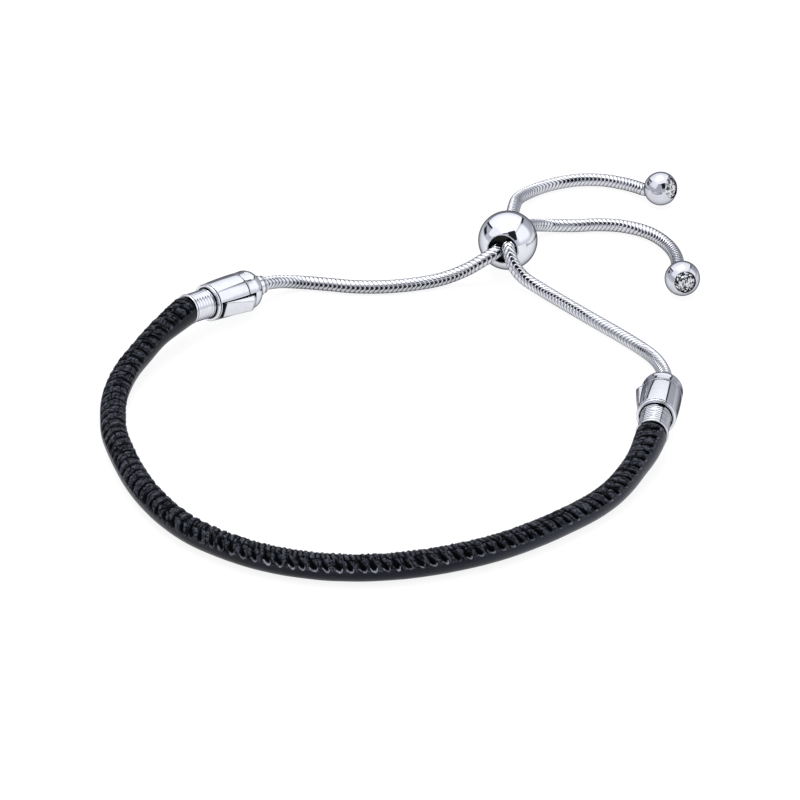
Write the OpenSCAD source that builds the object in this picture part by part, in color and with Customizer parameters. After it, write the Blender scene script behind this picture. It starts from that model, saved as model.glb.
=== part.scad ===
// A leather bracelet that closes with a sliding ball. A stitched leather cord makes the
// front of the loop. Each end of the cord has a ribbed ferrule, and a barrel clasp with a
// hinged lever holds the ferrule. From each clasp a snake chain runs through the drilled
// ball to a small end ball with a clear cut stone. Sizes are in millimetres, and the
// bracelet lies on the plane z = 0.

/* [Leather cord] */
// Diameter of the leather cord
leather_d = 3.4; // [3:0.1:3.8]
// Distance from one stitch to the next
stitch_pitch = 1.7; // [1.4:0.1:2.4]
// Depth of the crease that a stitch pulls into the leather
crease_depth = 0.24; // [0:0.02:0.4]
// Half of the stitched zone, as an angle round the cord
stitched_half_angle = 55; // [40:5:85]
// Turn of the stitched zone from the top toward the outside, at the front of the loop
zone_turn = 27; // [0:1:40]
// Forward lean of the stitches across the zone
stitch_lean = 0.5; // [0:0.1:0.8]

/* [Ferrules] */
// Outer diameter of the ferrule
ferrule_d = 4; // [3.9:0.05:4.1]
// Length of the left ferrule that shows outside the clasp
ferrule_len_left = 3.7; // [3.5:0.1:4.8]
// Length of the right ferrule that shows outside the clasp
ferrule_len_right = 4.6; // [3.5:0.1:4.8]
// Wall of the socket that holds the leather
ferrule_wall = 0.3; // [0.2:0.05:0.4]
// Number of fine grooves round the ferrule
groove_count = 5; // [1:1:6]

/* [Clasps] */
// Diameter of the clasp at its open rim
rim_d = 5.2; // [5.1:0.05:5.3]
// Diameter of the clasp at its widest place
barrel_d = 5.6; // [5.5:0.05:5.8]
// Diameter of the open mouth in the rim
mouth_d = 4.4; // [4.35:0.05:4.5]
// Length of the whole clasp with its collar
clasp_len = 10.9; // [10.8:0.1:12]
// Width of the lever
lever_w = 2.6; // [2.3:0.1:2.6]
// Height of the thumb end above the axis of the clasp
thumb_r = 3.45; // [3.3:0.05:3.7]

/* [Snake chains] */
// Diameter of the snake chain
chain_d = 1.9; // [1.6:0.1:1.9]

/* [Sliding ball] */
// Diameter of the sliding ball
slider_d = 8.5; // [8:0.1:9]
// Diameter of the bore through the ball
slider_bore_d = 4.1; // [4.1:0.05:4.4]
// Distance from the axis of the ball to the middle of a chain
chain_offset = 1.02; // [1.01:0.01:1.05]

/* [End balls and stones] */
// Diameter of the end balls
end_ball_d = 5; // [4.6:0.1:5.4]
// Diameter of the cut stones
stone_d = 3; // [2.6:0.1:3.2]

/* [Hidden] */

// Gap between pieces that touch on the real object
seat_gap = 0.05;

// Where things lie. A place is [point, heading, pitch, roll]: the local +X axis of the
// piece points along the heading in the plane, tilted up by the pitch, and the roll turns
// the piece about that axis.
clasp_left = [[-28.1, 10.8, 3.65], 46, -6.3, 195];
clasp_right = [[32.2, -19.7, 3.1], 80, -2.2, -3];
slider = [[14.1, 28.6, slider_d / 2], 256.5, 5.6, 20];
end_upper = [[37.3, 48.6, end_ball_d / 2], -35, 19, 0];
end_lower = [[38.5, 20.3, end_ball_d / 2], -82, 11.3, 0];

// Routes of the leather and the chains between the pieces that hold them
leather_route = [
    [-34.1, 2.6, 3.5], [-36.2, -1.3, 2.75], [-38.1, -6, 2.2], [-39.2, -11.6, 1.8],
    [-39.1, -17.7, 1.72], [-38.1, -23.8, 1.72], [-34.4, -34.5, 1.72], [-29.7, -42.5, 1.72],
    [-24.4, -47.7, 1.72], [-17, -51.9, 1.72], [-8.3, -53.8, 1.72], [1, -52.9, 1.72],
    [10.5, -49.3, 1.72], [18.8, -43.5, 1.72], [25.2, -37, 1.75], [29.4, -29.6, 2.4]
];
chain_left_front = [
    [-18.2, 20.7, 1.75], [-15.2, 21.9, 1], [-11.5, 21.3, 0.98], [-7.6, 20.6, 0.98],
    [-3.4, 20.6, 0.98], [0.8, 21.4, 0.98], [4.6, 22.6, 1.15], [8, 23.5, 2.1],
    [10.4, 23.8, 3.5]
];
chain_left_tail = [
    [14.7, 36.2, 3.2], [15.4, 42.3, 2.6], [16.2, 46.7, 1.8], [18.3, 50.6, 1.05],
    [21.2, 52.9, 0.98], [25, 54.4, 0.98], [28.7, 54.5, 0.98], [31.6, 53.5, 1], [33.45, 52.05, 1.2]
];
chain_right_front = [
    [34.1, -6.2, 2.45], [33.4, -2, 1.8], [31.9, 2.4, 1], [29.1, 6.3, 0.98],
    [26.5, 9.6, 0.98], [23.9, 12.9, 0.98], [21.2, 16.4, 0.98], [18.7, 19.5, 1.1],
    [16.3, 21.3, 1.95], [14.8, 22.5, 3.4]
];
chain_right_tail = [
    [16.6, 34.7, 3.3], [18.3, 37.7, 2], [20.6, 39.4, 1.1], [24, 39.5, 0.98],
    [27.6, 39.8, 0.98], [31.3, 39.3, 0.98], [34.9, 37.2, 0.98], [37.3, 33.5, 1],
    [38.3, 28.6, 1.4]
];

// Shell of the clasp, as stations along its axis from the rim
peak_x = 5;
rim_chamfer = 0.15;
mouth_flare = 0.15;
dome_r = 1.8;
dome_x = 7.4;
seam_x = 5.8;
seam_w = 0.12;
seam_depth = 0.09;
collar_r = 1.45;
collar_end_x = 10.1;
ring_r = 1.25;
bore_depth = 4.85;
head_seat_depth = 6.1;
chain_seat_x = 9.4;

// Lever, its slot and its hinge
pivot_x = 1.5;
pivot_y = 1.7;
pin_r = 0.25;
pin_len = 3.8;
pin_fit = 0.02;
lever_fit = 0.03;
slot_end_x = 7;
slot_floor_y = 1.5;
slot_nose_r = 1.03;
lever_gap = 0.1;
nose_r = 0.93;
eye_r = 0.48;
lever_floor_y = 1.9;
lever_step = 0.4;
thumb_start_x = 2.8;
thumb_peak_x = 5.3;
thumb_end_r = 2.7;
thumb_corner = 1.1;
tooth_x = 4;
tooth_len = 0.65;
tooth_w = 1.2;
tooth_reach = 0.8;

// Parts of the ferrule
lip_len = 0.35;
lip_height = 0.12;
groove_w = 0.16;
groove_depth = 0.1;
groove_step = 0.4;
groove_first_x = -2.1;
ferrule_end_x = 0.35;
socket_depth = 2.2;
post_r = 0.95;
neck_r = 0.65;
neck_x = [3.75, 4.85];
head_r = 1.12;
head_end_x = 5.9;

// Parts of the sliding ball
cavity_r = 2.95;
cavity_half = 2.5;
passage_r = chain_d / 2 + seat_gap;
mouth_stations = [4.2, 2.4, 0, -2.4, -4];

// Parts of an end ball
stone_r = stone_d / 2;
seat_r = stone_r + seat_gap;
girdle_x = 1.6;
girdle_h = 0.1;
table_x = 2.05;
table_r = 0.56 * stone_r;
culet_x = 0.5;
chain_seat_depth = 1.1;

// Steps and facets
$fn = 72;
cord_sides = 16;
rings_per_stitch = 3;
fine_steps = 10;
wall_steps = 8;
dome_steps = 8;
chain_sides = 8;
chain_steps = 2;
chain_r = chain_d / 2;
leather_r = leather_d / 2;
tenon_r = ferrule_d / 2 - ferrule_wall - seat_gap;

// The leather swells toward its ends, and the stitching fades out there
leather_flare = 0.35;
flare_len = 8;
zone_fade = 18;
end_fade = 1.2;
// Share of the turn at shares of the length, from the left clasp to the right clasp
turn_shares = [[0, -0.7], [0.15, 0.15], [0.26, 0.6], [0.54, 0.85], [0.71, 0.5], [0.87, 0.4],
    [0.95, -0.2], [1, -0.7]];

// Vectors and places

function unit(v) = v / norm(v);

// The three local axes of a place
function axes(p) = let(h = p[1], t = p[2], r = p[3],
    x = [cos(t) * cos(h), cos(t) * sin(h), sin(t)],
    y = [-sin(h), cos(h), 0],
    z = cross(x, y))
    [x, cos(r) * y + sin(r) * z, cos(r) * z - sin(r) * y];

// The point in space of a local point of a placed piece
function at(p, v) = let(a = axes(p)) p[0] + v[0] * a[0] + v[1] * a[1] + v[2] * a[2];

// A row of points on the local X axis of a place, or beside it
function along(p, stations, side = 0) = [for (x = stations) at(p, [x, side, 0])];

module place(p) {
    translate(p[0]) rotate([p[3], -p[2], p[1]]) children();
}

// A solid of revolution about the local X axis, from a profile of [radius, station]
module revolve() {
    rotate([0, 90, 0]) rotate_extrude() children();
}

// A round rod or bore along the local X axis
module rod(from, to, r) {
    translate([from, 0, 0]) rotate([0, 90, 0]) cylinder(h = to - from, r = r);
}

// A smooth step from 0 at low to 1 at high
function fade(v, low, high) = let(u = min(1, max(0, (v - low) / (high - low)))) u * u * (3 - 2 * u);

// Smooth curves through route points

function spline(a, b, c, d, u) =
    0.5 * ((2 * b) + (c - a) * u + (2 * a - 5 * b + 4 * c - d) * u * u
    + (3 * b - a - 3 * c + d) * u * u * u);

function smooth(route, steps) = let(n = len(route) - 1)
    concat([for (i = [0 : n - 1]) for (k = [0 : steps - 1])
        spline(route[max(i - 1, 0)], route[i], route[i + 1], route[min(i + 2, n)], k / steps)],
        [route[n]]);

// Ring of points round a centre, across a heading that is never vertical
function ring_at(centre, heading, radii) = let(
    n = len(radii),
    side = unit(cross(heading, [0, 0, 1])),
    top = cross(side, heading))
    [for (k = [0 : n - 1]) let(a = k * 360 / n - 180)
        centre + radii[k] * (sin(a) * side + cos(a) * top)];

function even(n, r) = [for (k = [1 : n]) r];

// One closed tube through rings of equal point counts
module skin(rings) {
    n = len(rings);
    s = len(rings[0]);
    points = [for (ring = rings) each ring];
    walls = [for (i = [0 : n - 2]) for (k = [0 : s - 1]) let(m = (k + 1) % s)
        each [[i * s + k, (i + 1) * s + k, (i + 1) * s + m],
              [i * s + k, (i + 1) * s + m, i * s + m]]];
    caps = [[for (k = [0 : s - 1]) k], [for (k = [0 : s - 1]) n * s - 1 - k]];
    polyhedron(points, concat(walls, caps), convexity = 8);
}

// Leather cord

leather_path = smooth(concat(
    along(clasp_left, [0.5 - ferrule_len_left, -ferrule_len_left]),
    leather_route,
    along(clasp_right, [-ferrule_len_right, 0.5 - ferrule_len_right])), fine_steps);

function run(path, i, total) = i >= len(path) - 1 ? [total]
    : concat([total], run(path, i + 1, total + norm(path[i + 1] - path[i])));

leather_run = run(leather_path, 0, 0);
leather_start = leather_run[fine_steps];
leather_length = leather_run[len(leather_run) - 1 - fine_steps] - leather_start;
leather_table = [for (axis = [0 : 2]) [for (i = [0 : len(leather_path) - 1])
    [leather_run[i] - leather_start, leather_path[i][axis]]]];

function leather_at(s) = [for (axis = [0 : 2]) lookup(s, leather_table[axis])];
function leather_heading(s) = unit(leather_at(s + 0.4) - leather_at(s - 0.4));

stitch_count = round(leather_length / stitch_pitch);
ring_count = stitch_count * rings_per_stitch;

function in_zone(angle) = 1 - fade(abs(angle), stitched_half_angle, stitched_half_angle + zone_fade);
function zone_middle(s) = zone_turn * lookup(s / leather_length, turn_shares);
function from_end(s) = min(s, leather_length - s);
function swell(s) = leather_flare * (1 - fade(from_end(s), 0, flare_len));

// Ring i of the cord. One ring in each stitch is creased, and all lean across the zone.
function leather_ring(i) = [for (k = [0 : cord_sides - 1]) let(
    a = k * 360 / cord_sides - 180,
    s = i * leather_length / ring_count,
    turned = a - zone_middle(s),
    zone = in_zone(turned) * fade(from_end(s), 0, end_fade),
    lean = stitch_lean * sin(turned) * zone,
    crease = i % rings_per_stitch == 0 ? crease_depth : 0,
    r = leather_r + swell(s) - crease * zone)
    ring_at(leather_at(s + lean), leather_heading(s), even(cord_sides, r))[k]];

// Rings of the narrowed end in a ferrule of a given length, where way is 1 if the cord
// runs into the clasp
function end_rings(p, len_out, way) = let(
    heading = way * axes(p)[0],
    face = at(p, [-len_out - seat_gap, 0, 0]),
    tip = at(p, [socket_depth - len_out - seat_gap, 0, 0]))
    [ring_at(face, heading, even(cord_sides, leather_r + leather_flare)),
     ring_at(face, heading, even(cord_sides, tenon_r)),
     ring_at(tip, heading, even(cord_sides, tenon_r))];

module leather_cord() {
    left = end_rings(clasp_left, ferrule_len_left, -1);
    right = end_rings(clasp_right, ferrule_len_right, 1);
    color([0.07, 0.07, 0.08]) skin(concat(
        [left[2], left[1], left[0]],
        [for (i = [1 : ring_count - 1]) leather_ring(i)],
        right));
}

// Ferrules

module ferrule_profile(len_out) {
    r = ferrule_d / 2;
    face = -len_out;
    difference() {
        union() {
            translate([0, face]) square([r, len_out + ferrule_end_x]);
            translate([0, face]) square([r + lip_height, lip_len]);
            translate([0, ferrule_end_x]) square([post_r, neck_x[0] - ferrule_end_x]);
            translate([0, neck_x[0]]) square([neck_r, neck_x[1] - neck_x[0]]);
            translate([0, neck_x[1]]) square([head_r, head_end_x - neck_x[1]]);
        }
        translate([0, face - 1]) square([tenon_r + seat_gap, socket_depth + 1]);
        for (i = [0 : groove_count - 1])
            translate([r - groove_depth, groove_first_x + i * groove_step]) square([1, groove_w]);
    }
}

module ferrule(p, len_out) {
    color([0.82, 0.82, 0.84]) place(p) revolve() ferrule_profile(len_out);
}

module ferrule_left() { ferrule(clasp_left, ferrule_len_left); }
module ferrule_right() { ferrule(clasp_right, ferrule_len_right); }

// Clasp barrels

barrel_r = barrel_d / 2;
bulge = (barrel_d - rim_d) / 2;
arc_r = (peak_x * peak_x + bulge * bulge) / (2 * bulge);
slot_w = lever_w + 2 * lever_gap;

function barrel_outer(x) = barrel_r - arc_r + sqrt(arc_r * arc_r - (peak_x - x) * (peak_x - x));

function dome_point(a) = [barrel_r - dome_r * (1 - cos(a)), dome_x + dome_r * sin(a)];

// Half section of the clasp as [radius, station]: the rim, the swelling wall, the dome,
// and the stepped collar that holds the chain
function barrel_outline() = let(dome_end = acos(1 - (barrel_r - collar_r) / dome_r)) concat(
    [[0, 0], [rim_d / 2 - rim_chamfer, 0]],
    [for (k = [0 : wall_steps]) let(x = rim_chamfer + k * (peak_x - rim_chamfer) / wall_steps)
        [barrel_outer(x), x]],
    [for (k = [0 : dome_steps]) dome_point(k * dome_end / dome_steps)],
    [[collar_r, collar_end_x], [ring_r, collar_end_x], [ring_r, clasp_len], [0, clasp_len]]);

module barrel(p) {
    color([0.82, 0.82, 0.84]) place(p) difference() {
        revolve() polygon(barrel_outline());
        rod(-1, bore_depth, mouth_d / 2);
        rotate([0, 90, 0]) cylinder(h = mouth_flare, r1 = mouth_d / 2 + mouth_flare, r2 = mouth_d / 2);
        rod(0, head_seat_depth, head_r + seat_gap);
        rod(chain_seat_x, clasp_len + 1, passage_r);
        translate([pivot_x, slot_floor_y, -slot_w / 2])
            cube([slot_end_x - pivot_x, barrel_r, slot_w]);
        translate([pivot_x, pivot_y, -slot_w / 2]) cylinder(h = slot_w, r = slot_nose_r);
        translate([pivot_x, pivot_y, -barrel_r]) cylinder(h = barrel_d, r = pin_r + pin_fit);
        revolve() translate([barrel_r - seam_depth, seam_x - seam_w / 2]) square([1, seam_w]);
    }
}

module barrel_left() { barrel(clasp_left); }
module barrel_right() { barrel(clasp_right); }

// Clasp levers

lever_end_x = slot_end_x - lever_gap;

function lever_outer(x) = barrel_outer(x) - seat_gap
    + (thumb_r - barrel_r + seat_gap) * fade(x, thumb_start_x, thumb_peak_x);

// Outline of the lever as [radius, station], with a rounded thumb end
function lever_outline() = concat(
    [[0, 0]],
    [for (x = [0 : lever_step : thumb_peak_x]) [lever_outer(x), x]],
    [for (a = [0 : 22.5 : 90])
        [thumb_end_r + (thumb_r - thumb_end_r) * cos(a),
            thumb_peak_x + (lever_end_x - thumb_peak_x) * sin(a)]],
    [[0, lever_end_x]]);

// Side view of the lever: the nose round the hinge, the eye and the long bar
module lever_side() {
    translate([pivot_x, pivot_y]) intersection() {
        circle(nose_r);
        translate([-nose_r, 0]) square([2 * nose_r, nose_r]);
    }
    translate([pivot_x, pivot_y]) circle(eye_r);
    translate([pivot_x, lever_floor_y]) square([lever_end_x - pivot_x, thumb_r]);
}

// Top view of the lever, with round corners at the thumb end
module lever_top() {
    translate([0, -lever_w / 2]) square([lever_end_x - thumb_corner, lever_w]);
    translate([0, thumb_corner - lever_w / 2]) square([lever_end_x, lever_w - 2 * thumb_corner]);
    for (side = [-1, 1])
        translate([lever_end_x - thumb_corner, side * (lever_w / 2 - thumb_corner)])
            circle(thumb_corner);
}

module lever(p) {
    color([0.85, 0.85, 0.87]) place(p) difference() {
        union() {
            intersection() {
                revolve() polygon(lever_outline());
                translate([0, 0, -lever_w / 2]) linear_extrude(lever_w) lever_side();
                rotate([-90, 0, 0]) linear_extrude(2 * thumb_r) lever_top();
            }
            translate([tooth_x, tooth_reach, -tooth_w / 2])
                cube([tooth_len, lever_floor_y + 0.2 - tooth_reach, tooth_w]);
        }
        translate([pivot_x, pivot_y, -lever_w]) cylinder(h = 2 * lever_w, r = pin_r + lever_fit);
    }
}

module lever_left() { lever(clasp_left); }
module lever_right() { lever(clasp_right); }

module pin(p) {
    color([0.7, 0.7, 0.72]) place(p) translate([pivot_x, pivot_y, -pin_len / 2])
        cylinder(h = pin_len, r = pin_r);
}

module pin_left() { pin(clasp_left); }
module pin_right() { pin(clasp_right); }

// Snake chains

clasp_stations = [chain_seat_x + seat_gap, clasp_len, clasp_len + 0.4];
ball_stations = [-end_ball_d / 2 - 0.5, -end_ball_d / 2, chain_seat_depth - seat_gap - end_ball_d / 2];

function chain_route(clasp, front, side, tail, ball) = concat(
    along(clasp, clasp_stations), front,
    along(slider, mouth_stations, side), tail,
    along(ball, ball_stations));

module chain(route) {
    path = smooth(route, chain_steps);
    last = len(path) - 1;
    color([0.8, 0.8, 0.83]) skin([for (i = [0 : last])
        ring_at(path[i], unit(path[min(i + 1, last)] - path[max(i - 1, 0)]),
            even(chain_sides, chain_r))]);
}

module chain_left() {
    chain(chain_route(clasp_left, chain_left_front, -chain_offset, chain_left_tail, end_upper));
}

module chain_right() {
    chain(chain_route(clasp_right, chain_right_front, chain_offset, chain_right_tail, end_lower));
}

// Sliding ball and the soft insert that grips the chains

module slider_ball() {
    color([0.85, 0.85, 0.87]) place(slider) difference() {
        sphere(slider_d / 2);
        rod(-slider_d, slider_d, slider_bore_d / 2);
        rod(-cavity_half, cavity_half, cavity_r);
    }
}

module slider_grip() {
    color([0.05, 0.05, 0.05]) place(slider) difference() {
        rod(seat_gap - cavity_half, cavity_half - seat_gap, cavity_r - seat_gap);
        for (side = [-1, 1])
            translate([0, side * chain_offset, 0]) rod(-slider_d, slider_d, passage_r);
    }
}

// End balls with their stones

module end_ball(p) {
    r = end_ball_d / 2;
    color([0.85, 0.85, 0.87]) place(p) difference() {
        sphere(r);
        rod(-r - 1, chain_seat_depth - r, passage_r);
        rod(girdle_x - seat_gap, r + 1, seat_r);
        translate([culet_x - seat_gap, 0, 0]) rotate([0, 90, 0])
            cylinder(h = girdle_x - culet_x, r1 = 0.2, r2 = seat_r - 0.1);
    }
}

module end_ball_upper() { end_ball(end_upper); }
module end_ball_lower() { end_ball(end_lower); }

// Round brilliant: a table, eight main facets, sixteen girdle facets and a point
module stone(p) {
    color([0.9, 0.92, 0.98]) place(p) rotate([0, 90, 0]) hull() {
        translate([0, 0, culet_x]) cylinder(h = 0.02, r = 0.05, $fn = 8);
        translate([0, 0, girdle_x]) cylinder(h = girdle_h, r = stone_r, $fn = 16);
        translate([0, 0, table_x - 0.02]) rotate(22.5) cylinder(h = 0.02, r = table_r, $fn = 8);
    }
}

module stone_upper() { stone(end_upper); }
module stone_lower() { stone(end_lower); }

leather_cord();
ferrule_left();
ferrule_right();
barrel_left();
barrel_right();
lever_left();
lever_right();
pin_left();
pin_right();
chain_left();
chain_right();
slider_ball();
slider_grip();
end_ball_upper();
end_ball_lower();
stone_upper();
stone_lower();
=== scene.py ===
import math

import bpy
import bmesh
import numpy as np
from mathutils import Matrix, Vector


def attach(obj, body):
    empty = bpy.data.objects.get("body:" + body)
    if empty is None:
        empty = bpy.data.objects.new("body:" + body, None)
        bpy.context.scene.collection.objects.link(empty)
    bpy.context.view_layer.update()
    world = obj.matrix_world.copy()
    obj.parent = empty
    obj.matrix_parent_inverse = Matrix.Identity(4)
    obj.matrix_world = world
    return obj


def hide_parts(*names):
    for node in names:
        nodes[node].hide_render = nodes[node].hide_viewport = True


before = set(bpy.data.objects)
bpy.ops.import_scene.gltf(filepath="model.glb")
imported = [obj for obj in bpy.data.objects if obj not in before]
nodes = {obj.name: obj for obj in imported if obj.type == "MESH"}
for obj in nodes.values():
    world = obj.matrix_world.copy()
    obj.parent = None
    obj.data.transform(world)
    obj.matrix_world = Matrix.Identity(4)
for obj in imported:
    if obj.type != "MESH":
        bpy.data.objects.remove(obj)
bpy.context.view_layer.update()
MM = 0.001

# ---------------------------------------------------------------- camera

# the point looked at and the distance in metres, the height above the table in degrees,
# and the lens and sensor in millimetres
TARGET = (-0.0013, -0.0097, 0.0)
DISTANCE = 0.4637
ELEVATION = 30.0
LENS, SENSOR = 155.88, 36.0
CLIP_START, CLIP_END = 0.01, 20.0

cam_data = bpy.data.cameras.new("photo_camera")
cam_data.lens = LENS
cam_data.sensor_width = SENSOR
cam_data.clip_start, cam_data.clip_end = CLIP_START, CLIP_END
cam = bpy.data.objects.new("photo_camera", cam_data)
bpy.context.scene.collection.objects.link(cam)
elev = math.radians(ELEVATION)
cam.location = (TARGET[0], TARGET[1] - DISTANCE * math.cos(elev), DISTANCE * math.sin(elev))
cam.rotation_euler = (math.pi / 2 - elev, 0, 0)
bpy.context.scene.camera = cam
bpy.context.scene.view_settings.view_transform = "Standard"

# ---------------------------------------------------------------- places and routes, in mm

# a place is a point, a heading in the plane, a pitch up from it and a roll, in degrees;
# the local X axis of the piece points along the heading and the pitch
CLASP_LEFT = ((-28.1, 10.8, 3.65), 46, -6.3, 195)
CLASP_RIGHT = ((32.2, -19.7, 3.1), 80, -2.2, -3)
SLIDER = ((14.1, 28.6, 4.25), 256.5, 5.6, 20)
END_UPPER = ((37.3, 48.6, 2.5), -35, 19, 0)
END_LOWER = ((38.5, 20.3, 2.5), -82, 11.3, 0)

LEATHER_ROUTE = [
    (-34.1, 2.6, 3.5), (-36.2, -1.3, 2.75), (-38.1, -6, 2.2), (-39.2, -11.6, 1.8),
    (-39.1, -17.7, 1.72), (-38.1, -23.8, 1.72), (-34.4, -34.5, 1.72), (-29.7, -42.5, 1.72),
    (-24.4, -47.7, 1.72), (-17, -51.9, 1.72), (-8.3, -53.8, 1.72), (1, -52.9, 1.72),
    (10.5, -49.3, 1.72), (18.8, -43.5, 1.72), (25.2, -37, 1.75), (29.4, -29.6, 2.4),
]
CHAIN_LEFT_FRONT = [
    (-18.2, 20.7, 1.75), (-15.2, 21.9, 1), (-11.5, 21.3, 0.98), (-7.6, 20.6, 0.98),
    (-3.4, 20.6, 0.98), (0.8, 21.4, 0.98), (4.6, 22.6, 1.15), (8, 23.5, 2.1),
    (10.4, 23.8, 3.5),
]
CHAIN_LEFT_TAIL = [
    (14.7, 36.2, 3.2), (15.4, 42.3, 2.6), (16.2, 46.7, 1.8), (18.3, 50.6, 1.05),
    (21.2, 52.9, 0.98), (25, 54.4, 0.98), (28.7, 54.5, 0.98), (31.6, 53.5, 1), (33.45, 52.05, 1.2),
]
CHAIN_RIGHT_FRONT = [
    (34.1, -6.2, 2.45), (33.4, -2, 1.8), (31.9, 2.4, 1), (29.1, 6.3, 0.98),
    (26.5, 9.6, 0.98), (23.9, 12.9, 0.98), (21.2, 16.4, 0.98), (18.7, 19.5, 1.1),
    (16.3, 21.3, 1.95), (14.8, 22.5, 3.4),
]
CHAIN_RIGHT_TAIL = [
    (16.6, 34.7, 3.3), (18.3, 37.7, 2), (20.6, 39.4, 1.1), (24, 39.5, 0.98),
    (27.6, 39.8, 0.98), (31.3, 39.3, 0.98), (34.9, 37.2, 0.98), (37.3, 33.5, 1),
    (38.3, 28.6, 1.4),
]
FERRULE_LEFT_LEN, FERRULE_RIGHT_LEN = 3.7, 4.6
# radius of the leather, its swelling toward the ferrules and the length of that
LEATHER_R, LEATHER_FLARE, FLARE_LEN = 1.7, 0.35, 8.0
# radius of the chains, and their distance from the axis of the sliding ball
CHAIN_R, CHAIN_OFFSET = 0.95, 1.02
CLASP_LEN, CHAIN_SEAT_X = 10.9, 9.4
SLIDER_R, SLIDER_BORE_R = 4.25, 2.05
BALL_R, BALL_SOCKET, STONE_R = 2.5, 1.1, 1.5
# gap between pieces that touch on the real object
GAP = 0.05
# points to each span of a smoothed route
ROUTE_STEPS = 24


def axes(place):
    """The three local axes of a place."""
    h, t, r = (math.radians(v) for v in place[1:])
    x = np.array([math.cos(t) * math.cos(h), math.cos(t) * math.sin(h), math.sin(t)])
    y = np.array([-math.sin(h), math.cos(h), 0.0])
    z = np.cross(x, y)
    return x, math.cos(r) * y + math.sin(r) * z, math.cos(r) * z - math.sin(r) * y


def at(place, v):
    """The point in mm that lies at the local point v of a place."""
    x, y, z = axes(place)
    return np.array(place[0]) + v[0] * x + v[1] * y + v[2] * z


def along(place, stations, side=0.0):
    """Points on a line along the local X axis of a place."""
    return [at(place, (s, side, 0)) for s in stations]


def smooth_route(route):
    """A curve through all the points of a route."""
    route = [np.array(p, float) for p in route]
    n = len(route) - 1
    out = []
    for i in range(n):
        a, b, c, d = route[max(i - 1, 0)], route[i], route[i + 1], route[min(i + 2, n)]
        for k in range(ROUTE_STEPS):
            u = k / ROUTE_STEPS
            out.append(0.5 * (2 * b + (c - a) * u + (2 * a - 5 * b + 4 * c - d) * u * u
                              + (3 * b - a - 3 * c + d) * u ** 3))
    out.append(route[n])
    return np.array(out)


class Line:
    """A route with its running length, and a frame on it whose top never turns down."""

    def __init__(self, points, smooth):
        self.p = points
        seg = np.linalg.norm(np.diff(points, axis=0), axis=1)
        self.s = np.concatenate([[0], np.cumsum(seg)])
        self.length = self.s[-1]
        self.smooth = smooth

    def point(self, s):
        """Points at running lengths s."""
        return np.stack([np.interp(s, self.s, self.p[:, k]) for k in range(3)], axis=-1)

    def frames(self, s):
        """The sideways and the top direction at running lengths s."""
        w = self.smooth
        h = self.point(s + w) - self.point(s - w)
        h /= np.linalg.norm(h, axis=-1, keepdims=True)
        side = np.cross(h, [0, 0, 1.0])
        side /= np.linalg.norm(side, axis=-1, keepdims=True)
        return side, np.cross(side, h)

    def place(self, s, angle, radius):
        """Points at running lengths s, angles from the top and radii, arrays of one shape."""
        side, top = self.frames(s)
        outward = np.sin(angle)[..., None] * side + np.cos(angle)[..., None] * top
        return self.point(s) + radius[..., None] * outward


# ---------------------------------------------------------------- mesh helpers


def linked(name, data):
    """A new object in the scene for a mesh or a light."""
    obj = bpy.data.objects.new(name, data)
    bpy.context.scene.collection.objects.link(obj)
    return obj


def solid(name, verts, faces):
    """An object from points in mm and faces."""
    mesh = bpy.data.meshes.new(name)
    mesh.from_pydata([tuple(v * MM) for v in verts], [], faces)
    obj = linked(name, mesh)
    fix_normals(obj)
    return obj


def grid_object(name, verts, attrs, caps=True):
    """An object from a grid of points [ring, around, 3] in mm, closed around.

    The mesh carries the named attributes, arrays [ring, around], at its points."""
    nr, na = verts.shape[:2]
    idx = np.arange(nr * na).reshape(nr, na)
    nxt = np.roll(idx, -1, axis=1)
    quads = np.stack([idx[:-1], nxt[:-1], nxt[1:], idx[1:]], axis=-1).reshape(-1, 4)
    faces = [tuple(int(v) for v in q[::-1]) for q in quads]
    if caps:
        faces.append(tuple(int(v) for v in idx[0]))
        faces.append(tuple(int(v) for v in idx[-1][::-1]))
    mesh = bpy.data.meshes.new(name)
    mesh.from_pydata((verts.reshape(-1, 3) * MM).tolist(), [], faces)
    for key, values in attrs.items():
        layer = mesh.attributes.new(key, "FLOAT", "POINT")
        layer.data.foreach_set("value", values.reshape(-1).astype(np.float32))
    mesh.update()
    mesh.polygons.foreach_set("use_smooth", [True] * len(mesh.polygons))
    obj = linked(name, mesh)
    fix_normals(obj)
    return obj


def fix_normals(obj):
    """Face normals outward; flat end caps keep crisp edges."""
    bm = bmesh.new()
    bm.from_mesh(obj.data)
    bmesh.ops.recalc_face_normals(bm, faces=bm.faces)
    for face in bm.faces:
        if len(face.verts) > 4:
            for e in face.edges:
                e.smooth = False
    bm.to_mesh(obj.data)
    bm.free()


def turned(name, profile, place, n=128, sharp=35, closed=False):
    """A solid turned about the local X axis, from points (station, radius, painted shade).

    A closed profile runs back to its first point, and the others end in caps."""
    pts = np.array(profile, float)
    if closed:
        pts = np.concatenate([pts, pts[:1]])
    ang = np.linspace(0, 2 * math.pi, n, endpoint=False)
    x, y, z = axes(place)
    around = np.cos(ang)[None, :, None] * y + np.sin(ang)[None, :, None] * z
    ring = pts[:, 0][:, None, None] * x + pts[:, 1][:, None, None] * around
    painted_shade = pts[:, 2][:, None] * np.ones((1, n))
    obj = grid_object(name, np.array(place[0]) + ring, {"painted_shade": painted_shade}, caps=not closed)
    if closed:
        bm = bmesh.new()
        bm.from_mesh(obj.data)
        bmesh.ops.remove_doubles(bm, verts=bm.verts, dist=1e-7)
        bmesh.ops.recalc_face_normals(bm, faces=bm.faces)
        bm.to_mesh(obj.data)
        bm.free()
    mark_sharp(obj, sharp)
    return obj


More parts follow.
